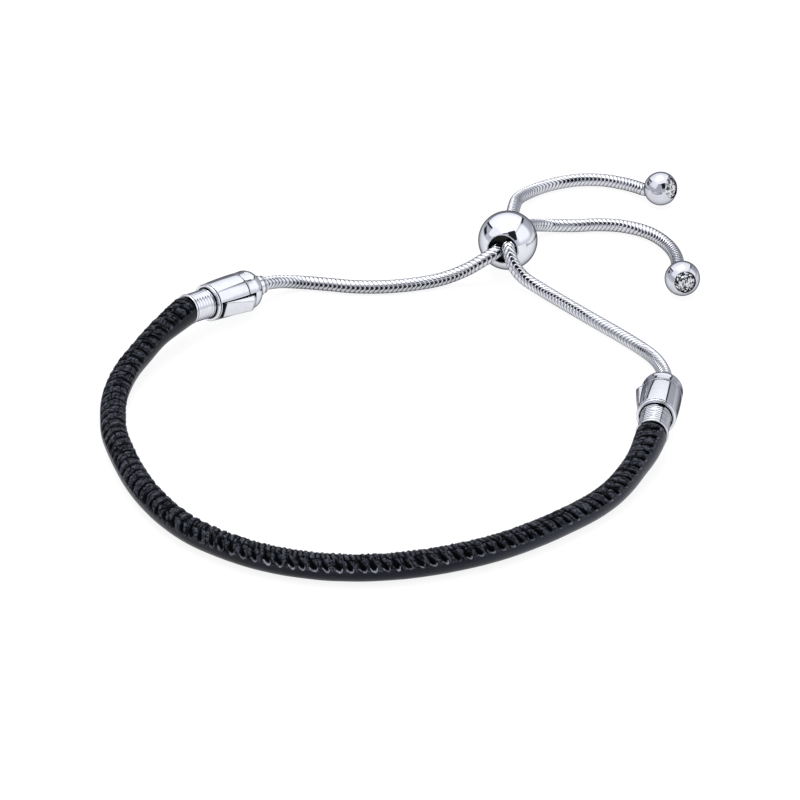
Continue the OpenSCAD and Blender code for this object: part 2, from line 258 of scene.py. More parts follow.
def mark_sharp(obj, degrees):
    """Crisp edges where two faces meet at more than an angle."""
    bm = bmesh.new()
    bm.from_mesh(obj.data)
    limit = math.radians(degrees)
    for e in bm.edges:
        if len(e.link_faces) == 2 and e.calc_face_angle(0) > limit:
            e.smooth = False
    bm.to_mesh(obj.data)
    bm.free()


def arc(r, a0, a1, n):
    """Profile points on an arc round the middle of a place, angles in degrees."""
    turns = [math.radians(a0 + (a1 - a0) * k / n) for k in range(n + 1)]
    return [(r * math.cos(t), r * math.sin(t), 0) for t in turns]


# ---------------------------------------------------------------- materials


def new_material(name):
    """A material, its node tree and its main shader."""
    mat = bpy.data.materials.new(name)
    mat.use_nodes = True
    return mat, mat.node_tree, mat.node_tree.nodes["Principled BSDF"]


def node(tree, kind, **values):
    """A node with values for its sockets or its own settings."""
    n = tree.nodes.new(kind)
    for key, value in values.items():
        if key in n.inputs:
            n.inputs[key].default_value = value
        else:
            setattr(n, key, value)
    return n


def mix_colors(tree, factor, a, b):
    """A colour mix; a is a socket, b a socket or a plain colour, and factor a socket."""
    m = tree.nodes.new("ShaderNodeMix")
    m.data_type = "RGBA"
    tree.links.new(factor, m.inputs[0])
    tree.links.new(a, m.inputs[6])
    if isinstance(b, tuple):
        m.inputs[7].default_value = (*b, 1)
    else:
        tree.links.new(b, m.inputs[7])
    return m.outputs[2]


def ramp(tree, source, stops):
    """The colours, or the greys given as one number, that a source runs through."""
    r = tree.nodes.new("ShaderNodeValToRGB")
    el = r.color_ramp.elements
    while len(el) < len(stops):
        el.new(0.5)
    for e, (pos, col) in zip(el, stops):
        e.position = pos
        e.color = (col, col, col, 1) if isinstance(col, float) else (*col, 1)
    tree.links.new(source, r.inputs[0])
    return r.outputs["Color"]


def math_node(tree, operation, *inputs, clamp=False):
    """The result of an operation on sockets or plain numbers."""
    n = node(tree, "ShaderNodeMath", operation=operation, use_clamp=clamp)
    for i, value in enumerate(inputs):
        if isinstance(value, (int, float)):
            n.inputs[i].default_value = value
        else:
            tree.links.new(value, n.inputs[i])
    return n.outputs[0]


def attribute(tree, name):
    """A number that the mesh carries at each point."""
    return node(tree, "ShaderNodeAttribute", attribute_name=name).outputs["Fac"]


def object_coords(tree):
    """The place on the object itself."""
    return tree.nodes.new("ShaderNodeTexCoord").outputs["Object"]


def texture(tree, kind, output, where, **values):
    """One output of a texture node that is looked up at a place."""
    n = node(tree, "ShaderNodeTex" + kind, **values)
    tree.links.new(where, n.inputs["Vector"])
    return n.outputs[output]


def bump(tree, height, strength, distance, under=None):
    """A node that tilts the surface by a height, on top of another tilt."""
    n = node(tree, "ShaderNodeBump", Strength=strength, Distance=distance)
    tree.links.new(height, n.inputs["Height"])
    if under:
        tree.links.new(under, n.inputs["Normal"])
    return n.outputs["Normal"]


# colour of the painted shade in deep places of the metal, and its nearly black tint where it is
# seen at a glancing angle, a painted dark rim
PAINTED_SHADE_DARK, DARK_RIM_TINT = (0.012, 0.012, 0.015), (0.06, 0.06, 0.08, 1)
# painted shade in narrow gaps between metal parts: how far it reaches, and the softness of edges,
# in metres
GAP_SHADE_REACH, EDGE_SOFTNESS, GAP_SAMPLES = 0.00045, 0.00009, 6


def silver_material(name, low, high, rough, gap_shade=False):
    """Polished metal with painted shade where the mesh asks for it, and in narrow spaces between
    parts if asked.
    """
    mat, tree, bsdf = new_material(name)
    bsdf.inputs["Base Color"].default_value = (*high, 1)
    bsdf.inputs["Specular Tint"].default_value = DARK_RIM_TINT
    bsdf.inputs["Metallic"].default_value = 1.0
    co = object_coords(tree)
    noise = texture(tree, "Noise", "Fac", co, Scale=900.0, Detail=3.0, Roughness=0.6)
    color = ramp(tree, noise, [(0.3, low), (0.7, high)])
    tree.links.new(ramp(tree, noise, [(0.35, rough * 0.8), (0.7, rough * 1.4)]),
                   bsdf.inputs["Roughness"])
    fine = texture(tree, "Noise", "Fac", co, Scale=2600.0, Detail=2.0)
    # painted shade: a number on the mesh, and ambient occlusion in narrow gaps, darken the colour
    dark, soft_edges = attribute(tree, "painted_shade"), None
    if gap_shade:
        near = node(tree, "ShaderNodeAmbientOcclusion", Distance=GAP_SHADE_REACH)
        edges = node(tree, "ShaderNodeBevel", Radius=EDGE_SOFTNESS)
        near.samples = edges.samples = GAP_SAMPLES
        shadow = ramp(tree, near.outputs["AO"], [(0.1, 0.97), (0.4, 0.0)])
        dark, soft_edges = math_node(tree, "MAXIMUM", shadow, dark), edges.outputs["Normal"]
    tree.links.new(mix_colors(tree, dark, color, PAINTED_SHADE_DARK), bsdf.inputs["Base Color"])
    tree.links.new(bump(tree, fine, 0.02, 0.00002, soft_edges), bsdf.inputs["Normal"])
    return mat


def leather_material():
    """Black leather: a smooth band with a painted sheen, stitched puffs with painted highlights,
    painted shade in the depths and painted highlights on the rims of the pits.
    """
    mat, tree, bsdf = new_material("black_leather")
    co = object_coords(tree)
    pores = texture(tree, "Voronoi", "Distance", co, Scale=4200.0)
    soft = texture(tree, "Noise", "Fac", co, Scale=1100.0, Detail=5.0, Roughness=0.6)
    highlight_speckle = texture(tree, "Noise", "Fac", co, Scale=3000.0, Detail=3.0, Roughness=0.7)
    depth, zone = attribute(tree, "depth"), attribute(tree, "stitched")
    band = ramp(tree, soft, [(0.3, (0.002, 0.002, 0.004)), (0.7, (0.0075, 0.008, 0.0135))])
    # painted sheen: the band turns a lighter bluish grey toward the right
    band = mix_colors(tree, attribute(tree, "painted_sheen"), band, (0.025, 0.028, 0.038))
    # painted highlights: the puffs are lighter than the band, in speckles
    puffs = ramp(tree, highlight_speckle, [(0.41, (0.004, 0.004, 0.007)), (0.61, (0.074, 0.078, 0.100))])
    color = mix_colors(tree, zone, band, puffs)
    # painted shade where the mesh is deep
    color = mix_colors(tree, depth, color, (0.0004, 0.0004, 0.0006))
    # painted highlights on the rims of the pits
    color = mix_colors(tree, attribute(tree, "rim_highlight"), color, (0.42, 0.43, 0.48))
    tree.links.new(color, bsdf.inputs["Base Color"])
    bsdf.inputs["Specular IOR Level"].default_value = 0.19
    bsdf.inputs["Specular Tint"].default_value = (0.78, 0.85, 1.0, 1)
    shine = ramp(tree, soft, [(0.3, 0.24), (0.75, 0.4)])
    tree.links.new(mix_colors(tree, depth, shine, (0.95, 0.95, 0.95)), bsdf.inputs["Roughness"])
    # fine folds run across the stitched zone, with the threads that pull them
    lay = tree.nodes.new("ShaderNodeCombineXYZ")
    tree.links.new(attribute(tree, "fold_s"), lay.inputs["X"])
    tree.links.new(attribute(tree, "fold_q"), lay.inputs["Y"])
    folds = texture(tree, "Noise", "Fac", lay.outputs["Vector"],
                    Scale=3.4, Detail=2.0, Roughness=0.55, Distortion=0.35)
    creases = math_node(tree, "MULTIPLY", folds, zone)
    grain = bump(tree, math_node(tree, "ADD", pores, soft), 0.3, 0.00004)
    tree.links.new(bump(tree, creases, 1.0, 0.0003, grain), bsdf.inputs["Normal"])
    return mat


def rubber_material():
    mat, tree, bsdf = new_material("grip_rubber")
    noise = texture(tree, "Noise", "Fac", object_coords(tree), Scale=1500.0, Detail=3.0)
    color = ramp(tree, noise, [(0.3, (0.006, 0.006, 0.007)), (0.7, (0.014, 0.014, 0.016))])
    tree.links.new(color, bsdf.inputs["Base Color"])
    tree.links.new(ramp(tree, noise, [(0.3, 0.5), (0.7, 0.7)]), bsdf.inputs["Roughness"])
    return mat


def stone_material():
    """Cut stone: each small patch leans its own way, and carries a painted reflection, dark on
    some patches and light on others.
    """
    mat, tree, bsdf = new_material("clear_stone_painted_reflections")
    cells = texture(tree, "Voronoi", "Color", object_coords(tree), Scale=4600.0)
    reflection_pick = tree.nodes.new("ShaderNodeSeparateColor")
    tree.links.new(cells, reflection_pick.inputs["Color"])
    # painted reflections: the colour is near black on some patches and near white on others
    color = ramp(tree, reflection_pick.outputs["Red"], [(0.25, (0.03, 0.03, 0.04)), (0.6, (0.95, 0.96, 1.0))])
    tree.links.new(color, bsdf.inputs["Base Color"])
    bsdf.inputs["Metallic"].default_value = 0.65
    bsdf.inputs["Transmission Weight"].default_value = 1.0
    bsdf.inputs["IOR"].default_value = 2.0
    bsdf.inputs["Roughness"].default_value = 0.02
    # each patch adds a lean of up to half the spread either way to the normal
    spread = 1.1
    lean, total, unit = (node(tree, "ShaderNodeVectorMath", operation=operation)
                         for operation in ("MULTIPLY_ADD", "ADD", "NORMALIZE"))
    tree.links.new(cells, lean.inputs[0])
    lean.inputs[1].default_value = (spread,) * 3
    lean.inputs[2].default_value = (-spread / 2,) * 3
    shape = tree.nodes.new("ShaderNodeNewGeometry")
    tree.links.new(shape.outputs["Normal"], total.inputs[0])
    tree.links.new(lean.outputs["Vector"], total.inputs[1])
    tree.links.new(total.outputs["Vector"], unit.inputs[0])
    tree.links.new(unit.outputs["Vector"], bsdf.inputs["Normal"])
    return mat


# metals: darker and lighter tone of the fine mottling, and roughness
SILVER = silver_material("polished_silver", (0.68, 0.69, 0.735), (0.74, 0.75, 0.795), 0.035)
# the end balls' silver is a darker copy of the polished silver: painted shade on the end balls
SHADED_BALL_SILVER = silver_material("shaded_ball_silver", (0.56, 0.57, 0.615), (0.64, 0.65, 0.70), 0.05)
CLASP = silver_material("clasp_silver", (0.68, 0.69, 0.735), (0.74, 0.75, 0.795), 0.05, True)
CHAIN = silver_material("chain_silver", (0.66, 0.67, 0.72), (0.77, 0.78, 0.82), 0.11)
LEATHER = leather_material()
RUBBER = rubber_material()
PAINTED_REFLECTION_STONE = stone_material()


def paint(obj, mat):
    obj.data.materials.clear()
    obj.data.materials.append(mat)


def dress(obj, mat, slot_name, *stands_for, body="bracelet"):
    """Give a piece its material and body, and hide the nodes that it stands for. The slot name is
    not used.
    """
    paint(obj, mat)
    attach(obj, body)
    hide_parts(*stands_for)


# ---------------------------------------------------------------- smooth steps and noise

LATTICE = 256


def fade(v, low, high):
    """Smooth step from 0 at low to 1 at high."""
    u = np.clip((v - low) / (high - low), 0, 1)
    return u * u * (3 - 2 * u)


def ridge(distance, width, power=2):
    """1 at distance 0, falling off on both sides to nearly 0 beyond twice the width."""
    return np.exp(-(np.abs(distance) / width) ** power)


def lattice_noise(u, v, seed):
    """Smooth value noise between 0 and 1 at arrays u, v."""
    table = np.random.default_rng(seed).random((LATTICE, LATTICE))
    iu, iv = np.floor(u).astype(int), np.floor(v).astype(int)
    fu, fv = fade(u - iu, 0, 1), fade(v - iv, 0, 1)

    def corner(a, b):
        return table[a % LATTICE, b % LATTICE]

    return ((corner(iu, iv) * (1 - fu) + corner(iu + 1, iv) * fu) * (1 - fv)
            + (corner(iu, iv + 1) * (1 - fu) + corner(iu + 1, iv + 1) * fu) * fv)


# ---------------------------------------------------------------- stitched leather

# spacing of the pulls of the thread at running lengths, and how much it varies
PITCH_STOPS, PITCH, PITCH_SPREAD = [0, 55, 72, 133], [1.75, 1.7, 1.42, 1.5], 0.26
# outer and inner edge of the stitched zone, as angles from the top at running lengths
ZONE_STOPS = [0, 12, 24, 35, 50, 72, 95, 116, 126, 133]
ZONE_OUTER = [38, 52, 65, 74, 77, 80, 71, 68, 52, 39]
ZONE_INNER = [-66, -68, -92, -98, -84, -42, -46, -52, -66, -78]
MM_PER_DEGREE = LEATHER_R * math.pi / 180
# width of the strip beyond the zone on both sides, and how far the wrap reaches under it
LIP_OUT, LIP_IN, LIP_OVERLAP = 0.55, 0.45, 0.05
# radius of the floor of the channel in the wrap, and of the strip's underside
CHANNEL_R, UNDERSIDE_R = 1.0, 1.05
# rounding of the ends of the cord
END_ROUND = 0.3
# rings along each piece and points round it: shown ones, and hidden ones in the channel
WRAP_RINGS, WRAP_SHOWN = 420, 42
STRIP_RINGS, STRIP_SHOWN, STRIP_HIDDEN = 1400, 64, 6
# running lengths between which these come up: the stitching of the front and that of the
# right stretch, painted sheen on the smooth band, raised rims of the pits, painted highlights
# on the rims, and the thinning of these highlights
TO_FRONT, TO_RIGHT, TO_PAINTED_SHEEN = (56, 74), (92, 112), (82, 114)
TO_RIMS, TO_RIM_HIGHLIGHTS, TO_THIN_HIGHLIGHTS = (50, 66), (56, 72), (84, 104)

leather_line = Line(smooth_route(
    along(CLASP_LEFT, (0.5 - FERRULE_LEFT_LEN, -FERRULE_LEFT_LEN)) + LEATHER_ROUTE
    + along(CLASP_RIGHT, (-FERRULE_RIGHT_LEN, 0.5 - FERRULE_RIGHT_LEN))), smooth=0.8)
# the first and the last span of the route only set the direction inside the ferrules
leather_start = leather_line.s[ROUTE_STEPS] + GAP
leather_length = leather_line.s[-1 - ROUTE_STEPS] - GAP - leather_start


def leather_radius(s, angle):
    """Smooth radius of the cord, swelling toward the ferrules, with round end edges."""
    far = np.minimum(s, leather_length - s)
    swell = LEATHER_FLARE * (1 - fade(far, 0, FLARE_LEN))
    dent = 0.03 * (lattice_noise(s / 2.5, angle / 40 + 9, 21) - 0.5)
    drop = END_ROUND * (1 - np.sqrt(1 - np.clip(1 - far / END_ROUND, 0, 1) ** 2))
    return LEATHER_R + swell + dent - drop


def build_leather_wrap():
    """The smooth part of the cord. A channel along it holds the stitched strip."""
    s = np.linspace(0, leather_length, WRAP_RINGS)[:, None]
    first = np.interp(s, ZONE_STOPS, ZONE_OUTER) + (LIP_OUT - LIP_OVERLAP) / MM_PER_DEGREE
    last = np.interp(s, ZONE_STOPS, ZONE_INNER) - (LIP_IN - LIP_OVERLAP) / MM_PER_DEGREE + 360
    shown = first + (last - first) * np.linspace(0, 1, WRAP_SHOWN)[None, :]
    channel = last + (360 - last + first) * np.array([0.01, 0.2, 0.4, 0.6, 0.8, 0.99])[None, :]
    angle = np.concatenate([shown, channel], axis=1)
    s = s * np.ones_like(angle)
    radius, depth, zero = leather_radius(s, angle), np.zeros_like(s), np.zeros_like(s)
    radius[:, WRAP_SHOWN:] = CHANNEL_R
    depth[:, WRAP_SHOWN:] = 1.0
    verts = leather_line.place(leather_start + s, np.radians(angle), radius)
    # painted shade fills the floor of the channel, and a painted sheen comes up on the band toward
    # the right
    obj = grid_object("leather_wrap", verts, {
        "depth": depth, "rim_highlight": zero, "painted_sheen": fade(s, *TO_PAINTED_SHEEN), "fold_s": s,
        "fold_q": angle * MM_PER_DEGREE, "stitched": zero})
    mark_sharp(obj, 40)
    dress(obj, LEATHER, "leather", "leather_cord")


def nearest_pull(where, seed, start=-4.0, share=1.0):
    """Distance to the nearest pull of the thread, and a number of its own for it.

    The first pull is at start, and the next ones follow at a share of the pitch."""
    rng = np.random.default_rng(seed)
    marks = [start]
    while marks[-1] < leather_length + 4:
        step = share * np.interp(marks[-1], PITCH_STOPS, PITCH)
        marks.append(marks[-1] + step * (1 + PITCH_SPREAD * (rng.random() - 0.5)))
    marks = np.array(marks)
    k = np.clip(np.searchsorted(marks, where), 1, len(marks) - 1)
    k = np.where(where - marks[k - 1] < marks[k] - where, k - 1, k)
    return where - marks[k], rng.random(len(marks))[k]


def build_leather_strip(name, begin, end):
    """One length of the stitched strip, with its grooves, pits, folds and lips as relief."""
    s = np.linspace(begin, end, STRIP_RINGS)[:, None] * np.ones((1, STRIP_SHOWN))
    front, right, thin = fade(s, *TO_FRONT), fade(s, *TO_RIGHT), fade(s, *TO_THIN_HIGHLIGHTS)
    # places across the strip: angle, and distance in mm from both edges of the zone
    outer = np.interp(s, ZONE_STOPS, ZONE_OUTER)
    span = (outer - np.interp(s, ZONE_STOPS, ZONE_INNER)) * MM_PER_DEGREE
    out = (span + LIP_IN + LIP_OUT) * np.linspace(0, 1, STRIP_SHOWN)[None, :] - LIP_OUT
    inn = span - out
    angle = outer - out / MM_PER_DEGREE
    ends = fade(np.minimum(s, leather_length - s), 0.02, END_ROUND)
    inside = fade(out, -0.12, 0.1) * fade(inn, -0.12, 0.12) * ends
    # the stitches lean: their outer ends lie further along the cord
    warp = 0.24 * (lattice_noise(s / 1.1, out / 0.8 + 40, 3) - 0.5)
    lean = 0.62 * (1.1 - np.clip(out, -0.4, 2.6)) / 1.5
    pos = s - lean + warp
    # outer row: narrow grooves that open into rounded pits at the outer edge of the zone
    g, chance = nearest_pull(pos, 7)
    turn = 0.42 + 0.12 * chance
    width = 0.09 + (0.2 + 0.13 * chance) * (1 - fade(out, turn, 1.4)) * (1 - 0.55 * right)
    close = np.sqrt(np.clip(1 - (np.clip(turn - out, 0, None) / turn) ** 2, 0, 1))
    width = np.maximum(width * close, 0.001)
    row = 1 - fade(out, 1.5 + 1.1 * right, 1.8 + 1.5 * right)
    deep = (0.34 + 0.28 * (1 - fade(out, 0.5, 1.5))) * (0.8 + 0.35 * chance)
    pit = ridge(g, 0.9 * width, 2.6) * row * (out > 0)
    threads = 0.07 * np.cos(2 * math.pi * g / 0.24) * (1 - fade(out, 0.6, 1.3)) * pit
    # inner row: square puffs, one to each pit on the left and two narrow ones further on
    inner_pos = s - 0.25 * (inn - 1) + warp
    row2 = fade(out, 1.45, 1.7)
    g2, chance2 = nearest_pull(inner_pos, 19, -3.3)
    g3, chance3 = nearest_pull(inner_pos, 29, -3.6, 0.5)
    wide2 = ridge(g2, 0.13) * (0.75 + 0.35 * chance2) * (1 - front)
    narrow2 = ridge(g3, 0.075) * (0.45 + 0.6 * chance3) * (0.4 + 0.6 * front)
    groove2 = np.maximum(wide2, narrow2) * row2 * (1 - 0.5 * right)
    # on the left the outer row is pleated between the pits
    g4, chance4 = nearest_pull(pos, 7, -4.85)
    pleat = ridge(g4, 0.08) * row * (1 - 0.8 * front) * fade(chance4, 0.2, 0.7)
    # two creases along the cord come and go
    broken = lattice_noise(s / 1.3, np.full_like(s, 21.5), 71)
    middle = 1.65 + 0.6 * (lattice_noise(s / 0.8, np.full_like(s, 3.5), 31) - 0.5)
    crease = ridge(out - middle, 0.1) * fade(broken, 0.3, 0.6)
    second = 2.85 + 0.7 * (lattice_noise(s / 0.9, np.full_like(s, 9.5), 37) - 0.5)
    crease2 = ridge(out - second, 0.1) * fade(1 - broken, 0.2, 0.5)
    # folds run across the zone, and cracks between them make a fine dark net
    fold = lattice_noise(pos / 0.3, out / 0.9 + 11 * chance, 11)
    fold2 = lattice_noise(pos / 0.2, out / 0.5 + 7 * chance, 5)
    net = lattice_noise(pos / 0.62, out / 0.9 + 3 * chance, 15)
    crack = ridge(net - 0.5, 0.045) * (1 - pit)
    net2 = lattice_noise(pos / 0.4 + 50, out / 0.4 + 9, 25)
    crack2 = ridge(net2 - 0.5, 0.05) * (1 - pit)
    # the leather bulges between the pulls
    bulge = 0.15 * (1 - ridge(g, 0.42)) * row
    puff2 = ridge(g2, 0.36) * (1 - front) + ridge(g3, 0.2) * front
    bulge = bulge + 0.13 * (1 - puff2) * row2 * (1 - 0.6 * right) - 0.05 * row * front
    # heights and depths in mm
    relief = inside * (bulge - deep * pit + threads - (0.34 - 0.1 * front) * groove2
                       - 0.18 * pleat - 0.18 * crease - 0.14 * crease2 - 0.14 * crack
                       - 0.09 * crack2 - 0.14 * np.abs(fold - 0.5) * 2 * (1 - pit)
                       - 0.06 * fold2)
    # a fine raised rim runs round the closed end of each pit, with a painted highlight on it in
    # patches that thins to dots on the right
    rho = np.sqrt((g / 0.36) ** 2 + ((turn - out) / turn) ** 2)
    rim = ridge(rho - 1.14, 0.105)
    light = rim * fade((turn - out) - (0.02 + 0.36 * thin), 0, 0.12) * ends
    patchy = fade(lattice_noise(s / 0.5, out / 0.3 + 5, 51), 0.08, 0.4)
    relief = relief + 0.06 * rim * (out < turn) * ends * fade(s, *TO_RIMS)
    lips = (0.03 * (1 - fade(out, -LIP_OUT, -LIP_OUT + 0.13))
            + 0.03 * (1 - fade(inn, -LIP_IN, -LIP_IN + 0.13)))
    radius = leather_radius(s, angle) + relief - lips
    # painted shade in low places of the relief, and in pits, grooves, pleats and cracks
    cavity_shade = 1 - fade(relief, -0.17 - 0.03 * front, 0.10 - 0.06 * front)
    depth = np.clip(inside * (cavity_shade + 0.8 * pit + 0.6 * groove2 + 0.6 * pleat + 0.5 * crack),
                    0, 1)
    # painted highlights on the rims of the pits
    rim_highlight = (np.clip(light * patchy * (1.1 * chance + 0.3), 0, 1) * fade(s, *TO_RIM_HIGHLIGHTS)
            * (1 - 0.55 * thin))
    # the underside of the strip lies in the channel of the wrap
    first, last = angle[:, :1], angle[:, -1:]
    under_angle = last + (first - last) * np.linspace(0.02, 0.98, STRIP_HIDDEN)[None, :]

    def wide(values, fill):
        return np.concatenate([values, np.full((STRIP_RINGS, STRIP_HIDDEN), fill)], axis=1)

    all_s = np.concatenate([s, s[:, :STRIP_HIDDEN]], axis=1)
    all_angles = np.concatenate([angle, under_angle], axis=1)
    verts = leather_line.place(leather_start + all_s, np.radians(all_angles),
                               wide(radius, UNDERSIDE_R))
    # the strip carries painted shade in its depths, painted highlights on the pit rims and a
    # painted sheen on its right stretch
    obj = grid_object(name, verts, {
        "depth": wide(depth, 1.0), "rim_highlight": wide(rim_highlight, 0.0), "painted_sheen": wide(0.6 * right, 0.0),
        "fold_s": wide(pos, 0.0), "fold_q": wide(out / 1.3, 0.0),
        "stitched": wide(inside * (1 - 0.6 * pit), 0.0)})
    dress(obj, LEATHER, "leather", "leather_cord")


# ---------------------------------------------------------------- snake chains

# length of one plate, how far it waves along the chain, and points round the chain
PLATE, WAVE, CHAIN_AROUND = 0.64, 0.36, 72
# one plate from joint to joint: part of its length, share of the drop into the joint
PLATE_PROFILE = [(0.0, 1.0), (0.055, 0.9), (0.1, 0.3), (0.2, 0.08),
                 (0.45, 0.0), (0.7, 0.06), (0.84, 0.25), (0.93, 0.85)]
# depth of the joints, of their openings at the tips of the waves, and opposite the tips
JOINT_DEPTH, DASH_DEPTH, DOT_DEPTH = 0.08, 0.10, 0.03
# painted shade: how dark the joints and openings are, and the side toward the table and its lowest
# part
JOINT_DARK, DASH_DARK, DOT_DARK, SIDE_SHADE, LOW_SHADE = 0.52, 1.5, 0.25, 0.8, 0.5
# for each chain, values at running lengths: angle of the tips from the top in degrees,
# strength of the dashes that the openings make there, and painted shade toward the table
LEFT_TIPS = ([0, 8, 22, 30, 40, 58, 66, 86], [68, 72, 72, 78, 60, 36, 58, 58])
LEFT_DASHES = ([0, 5, 8, 10, 19, 23, 27, 32, 44, 52, 68, 73, 76, 79, 86],
               [0.1, 0.2, 0.9, 1, 1, 0.6, 0.7, 0.8, 0.6, 0.1, 0.25, 1, 1, 0.5, 0.2])
LEFT_SHADE = ([0, 4, 7, 30, 36, 44, 60, 86], [0.1, 0.15, 0.38, 0.35, 0.1, 0, 0.08, 0.18])
RIGHT_TIPS = ([0, 6, 12, 21, 26, 31, 35, 48, 60, 71, 75, 86, 93],
              [10, -35, -60, -62, -40, -40, -54, 20, 50, 50, 70, 10, 10])
RIGHT_DASHES = ([0, 4, 8, 22, 25, 28, 37, 41, 58, 65, 69, 74, 77, 81, 88, 93],
                [0.4, 0.4, 0.2, 0.25, 0.7, 0.9, 0.9, 0.5, 0.15, 0.3, 0.8, 0.8, 0.5, 0.7, 0.8, 0.4])
RIGHT_SHADE = ([0, 42, 52, 62, 70, 93], [0, 0, 0.05, 0.1, 0.25, 0.2])


def chain_line(clasp, front, side, tail, ball):
    """The route of a chain out of its clasp, through the sliding ball and into its end ball."""
    route = (along(clasp, (CHAIN_SEAT_X + GAP, CLASP_LEN, CLASP_LEN + 0.4)) + front
             + along(SLIDER, (4.2, 2.4, 0, -2.4, -4), side) + tail
             + along(ball, (-BALL_R - 0.5, -BALL_R, BALL_SOCKET - GAP - BALL_R)))
    return Line(smooth_route(route), smooth=0.5)


def build_chain(name, line, tip_line, dash_line, shade_line, stands_for):
    """A closed chain of waving plates, with the joints between them as relief."""
    plates = int(line.length / PLATE) - 1
    rings = [(i + part, drop) for i in range(plates) for part, drop in PLATE_PROFILE]
    rings.append((plates, 1.0))
    # place of each ring in plates, and its share of the drop
    count, drop = (np.array(column)[:, None] for column in zip(*rings))
    step = line.length / (plates + 1)
    mean_s = count * step + 0.5 * step
    around = np.linspace(-math.pi, math.pi, CHAIN_AROUND, endpoint=False)[None, :]
    around = around * np.ones_like(mean_s)
    # each plate waves twice round the chain, and its tips lie on a line that turns slowly
    tips = np.interp(mean_s, *tip_line) * math.pi / 180
    phase = ((around - tips) / math.pi + 0.5) % 1.0
    wave = WAVE * (1 - 2 * np.abs(2 * phase - 1))
    waving = fade(np.minimum(mean_s, line.length - mean_s), 0.3, 1.5)
    s = np.clip(mean_s + wave * waving, 0.02, line.length - 0.02)
    # the joint opens at the tips of the waves, where it reads as a dash, and opposite them
    dash = (count % 1.0 < 0.6) * ridge(phase - 0.5, 0.08, 4) * waving
    dot = (count % 1.0 < 0.3) * ridge(np.minimum(phase, 1 - phase), 0.05) * waving
    strong = np.interp(mean_s, *dash_line)
    radius = CHAIN_R - JOINT_DEPTH * drop - DASH_DEPTH * dash * strong - DOT_DEPTH * dot
    # painted shade in the joints and openings, on the side toward the table and most on its lowest
    # part
    low = -np.cos(around)
    table_shade = np.interp(mean_s, *shade_line) * (SIDE_SHADE * fade(low, -0.3, 0.1)
                                             + LOW_SHADE * fade(low, 0.3, 0.6))
    dark = np.clip(JOINT_DARK * np.clip(drop * 1.2, 0, 1) + DASH_DARK * strong * dash
                   + DOT_DARK * dot + table_shade, 0, 1)
    obj = grid_object(name, line.place(s, around, radius), {"painted_shade": dark})
    dress(obj, CHAIN, "silver", stands_for)


# ---------------------------------------------------------------- clasps

# stations in mm along the axis of the clasp from its open rim, and radii, as in the frame
RIM_R, BARREL_R, MOUTH_R = 2.6, 2.8, 2.18
PEAK_X, SEAM_X, DOME_X, DOME_R = 5.0, 5.8, 7.4, 1.8
COLLAR_R, COLLAR_END_X, RING_R = 1.45, 10.1, 1.25
# the bore behind the mouth, for the head of the ferrule
BORE_R, BORE_X, BORE_END_X = 1.17, 4.85, 6.1
SLOT_X, SLOT_END_X, SLOT_FLOOR, SLOT_HALF = 0.58, 7.0, 1.5, 1.43
LEVER_HALF, LEVER_X, LEVER_END_X, LEVER_FLOOR = 1.28, 1.08, 6.9, 1.88
# length of the lever's round nose, and station where its round thumb end begins
NOSE_LEN, THUMB_X = 0.4, 6.0
TOOTH_HALF = 0.6
TOOTH_OUTLINE = [(4.0, 0.9), (4.1, 0.8), (4.55, 0.8), (4.65, 0.9), (4.65, 2.0), (4.0, 2.0)]
# the ferrule: its wall, the socket for the leather, and the post with its neck and head
FERRULE_R, SOCKET_R, SOCKET_DEPTH = 2.06, 1.7, 2.2
COLLET_X, POST_R, NECK_X, NECK_R = 0.35, 0.95, 3.75, 0.65
HEAD_X, HEAD_R, HEAD_END_X = 4.85, 1.12, 5.9
RIB_PITCH = 0.5
# radius at which a profile closes on the axis
AXIS_R = 0.02


def barrel_wall(x):
    """Radius of the barrel's gently bowed wall."""
    rise = BARREL_R - RIM_R
    big = (PEAK_X ** 2 + rise ** 2) / (2 * rise)
    return BARREL_R - big + math.sqrt(big ** 2 - (PEAK_X - x) ** 2)


def ring_groove(x, width, depth):
    """A fine turned groove in the wall of the barrel."""
    half, wall = width / 2, barrel_wall(x)
    return [(x - half, wall, 0), (x - half + 0.02, wall - depth, 1),
            (x + half - 0.02, wall - depth, 1), (x + half, wall, 0)]


def carve(obj, cutter):
    """Take the cutter out of an object, for good."""
    mod = obj.modifiers.new("carve", "BOOLEAN")
    mod.operation, mod.solver, mod.object = "DIFFERENCE", "EXACT", cutter
    carved = obj.evaluated_get(bpy.context.evaluated_depsgraph_get())
    done = bpy.data.meshes.new_from_object(carved)
    obj.modifiers.clear()
    obj.data = done
    bpy.data.objects.remove(cutter)


def prism(name, outline, half, place):
    """A block between two copies of a local XY outline at local z of -half and half."""
    verts = [at(place, (x, y, z)) for z in (-half, half) for x, y in outline]
    n = len(outline)
    faces = [tuple(range(n)), tuple(range(2 * n - 1, n - 1, -1))]
    faces += [(k, k + n, (k + 1) % n + n, (k + 1) % n) for k in range(n)]
    return solid(name, verts, faces)


